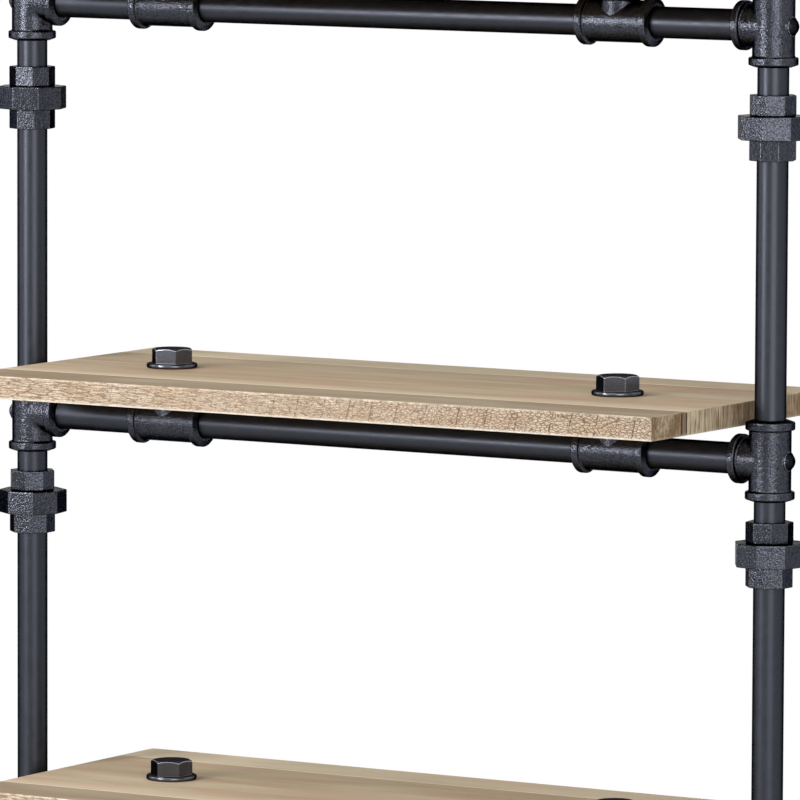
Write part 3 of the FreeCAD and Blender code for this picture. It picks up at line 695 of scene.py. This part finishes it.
def makeStuds(material):
    for body in frame["bodies"]:
        if not body.startswith("glide_"):
            continue
        node = body.replace("glide_", "glide_stud_")
        stud = newPiece(node.replace("glide", "threaded"), threadedStud(*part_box(node)), [material])
        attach(stud, body)
        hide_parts(node)
    print("glides: threaded studs")


camera = {
    "place": (3.5156, -5.7694, 1.2669), "turn": 31.29, "tip": 5.603, "roll": 0.233,  # metres and degrees
    "nearest": 0.5, "furthest": 60,  # metres
    "lens": 354.9, "sensor": 36.0,  # millimetres
}


def placeCamera():
    turn, tip, roll = (math.radians(camera[key]) for key in ("turn", "tip", "roll"))
    data = bpy.data.cameras.new("camera")
    data.lens, data.sensor_width = camera["lens"], camera["sensor"]
    data.clip_start, data.clip_end = camera["nearest"], camera["furthest"]
    eye = bpy.data.objects.new("camera", data)
    aim = Matrix.Rotation(turn, 4, "Z") @ Matrix.Rotation(math.pi / 2 - tip, 4, "X")
    eye.matrix_world = Matrix.Translation(camera["place"]) @ aim @ Matrix.Rotation(roll, 4, "Z")
    bpy.context.scene.collection.objects.link(eye)
    bpy.context.scene.camera = eye


lamps = {  # bearing from the unit in degrees, distances and sizes in metres, power in watts
    "keySoftbox": {"bearing": -112, "distance": 3.0, "height": 1.55, "size": (1.3, 2.0), "power": 41},
    "keyTube": {"bearing": -116, "distance": 2.9, "height": 1.3, "size": (0.09, 1.8), "power": 29},
    "fillSoftbox": {"bearing": -43, "distance": 3.4, "height": 1.2, "size": (1.9, 2.2), "power": 44},
    "rimSoftbox": {"bearing": -160, "distance": 2.8, "height": 1.4, "size": (1.0, 2.0), "power": 13},
    "topSoftbox": {"bearing": -90, "distance": 0.9, "height": 3.4, "size": (1.2, 1.2), "power": 17},
    "windowSoftbox": {"bearing": -130, "distance": 1.7, "height": 2.7, "size": (0.3, 0.3), "power": 12},
}
studio = {
    "ambient": 0.28, "floorPaint": "#e9e9e7", "floorRoughness": 0.9,
    "floorRadius": 1.5, "floorFade": 0.9, "floorSides": 128,  # metres, and the fade's inner radius
}


def placeLamps():
    aim = Vector((0, 0, (solidLow.z + solidHigh.z) / 2))
    for name, lamp in lamps.items():
        data = bpy.data.lights.new(name, "AREA")
        data.shape = "RECTANGLE"
        data.size, data.size_y = lamp["size"]
        data.energy = lamp["power"]
        box = bpy.data.objects.new(name, data)
        bearing, distance = math.radians(lamp["bearing"]), lamp["distance"]
        box.location = (distance * math.cos(bearing), distance * math.sin(bearing), lamp["height"])
        box.rotation_euler = (aim - box.location).to_track_quat("-Z", "Y").to_euler()
        bpy.context.scene.collection.objects.link(box)


def paintWorld():
    # White wherever the camera, gloss or glass looks; a softer grey as light
    world = bpy.data.worlds.new("studio")
    bpy.context.scene.world = world
    world.use_nodes = True
    tree = world.node_tree
    seen = addNode(tree, "LightPath", {}, "Is Camera Ray")
    for ray in ("Is Glossy Ray", "Is Transmission Ray"):
        other = addNode(tree, "LightPath", {}, ray)
        seen = addNode(tree, "Math", {"operation": "MAXIMUM", 0: seen, 1: other})
    strength = addNode(tree, "MapRange", {0: seen, 1: 0, 2: 1, 3: studio["ambient"], 4: 1})
    setNode(tree, tree.nodes["Background"], {"Color": white, "Strength": strength})


def layFloor():
    # A pale round of floor that keeps the shadow and fades to the white of the backdrop at its rim
    bm = bmesh.new()
    bmesh.ops.create_circle(bm, cap_ends=True, segments=studio["floorSides"], radius=studio["floorRadius"])
    material, tree, shader = newMaterial("studioFloor")
    floor = newPiece("studioFloor", bm, [material])
    setNode(tree, shader, {"Base Color": fromHex(studio["floorPaint"]), "Roughness": studio["floorRoughness"],
                           "Specular IOR Level": 0})
    radius = addNode(tree, "VectorMath", {"operation": "LENGTH", 0: addNode(tree, "TexCoord", {}, "Object")})
    seen = addNode(tree, "Math", {"operation": "MAXIMUM", 0: addNode(tree, "LightPath", {}, "Is Camera Ray"),
                                  1: addNode(tree, "LightPath", {}, "Is Glossy Ray")})
    rim = addNode(tree, "MapRange", {0: radius, 1: studio["floorFade"], 2: studio["floorRadius"]})
    rim = addNode(tree, "Math", {"operation": "MULTIPLY", 0: rim, 1: seen})
    glow = addNode(tree, "Emission", {"Color": white, "Strength": 1})
    faded = addNode(tree, "MixShader", {0: rim, 1: shader.outputs[0], 2: glow})
    below = addNode(tree, "NewGeometry", {}, "Backfacing")  # the floor is clear from underneath
    clear = addNode(tree, "MixShader", {0: below, 1: faded, 2: addNode(tree, "BsdfTransparent", {})})
    tree.links.new(clear, tree.nodes["Material Output"].inputs["Surface"])


placeCamera()
placeLamps()
paintWorld()
layFloor()
print("studio: %d lamps" % len(lamps))

finishes = {
    "pipe": makePipePaint(), "casting": makeCastingPaint(), "bolt": makeBoltPaint(),
    "screw": makeScrewFinish(), "stud": makeStudFinish(), "pad": makePadFinish(),
}
for solid in frame["nodes"].values():
    for slot in solid.material_slots:
        slot.material = finishes.get(slot.material.name.split(".")[0], slot.material)
print("metal: %d finishes" % len(finishes))

boardLow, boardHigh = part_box("board_tier_1")
jointY = (boardLow.y + shelfBoard["frontPlank"], boardHigh.y - shelfBoard["backPlank"])
makeBoards(jointY, (makeOakFace(jointY), makeOakSawn(), makeOakEnd(jointY)))
makeStuds(finishes["stud"])

bpy.context.scene.view_settings.view_transform = "Standard"
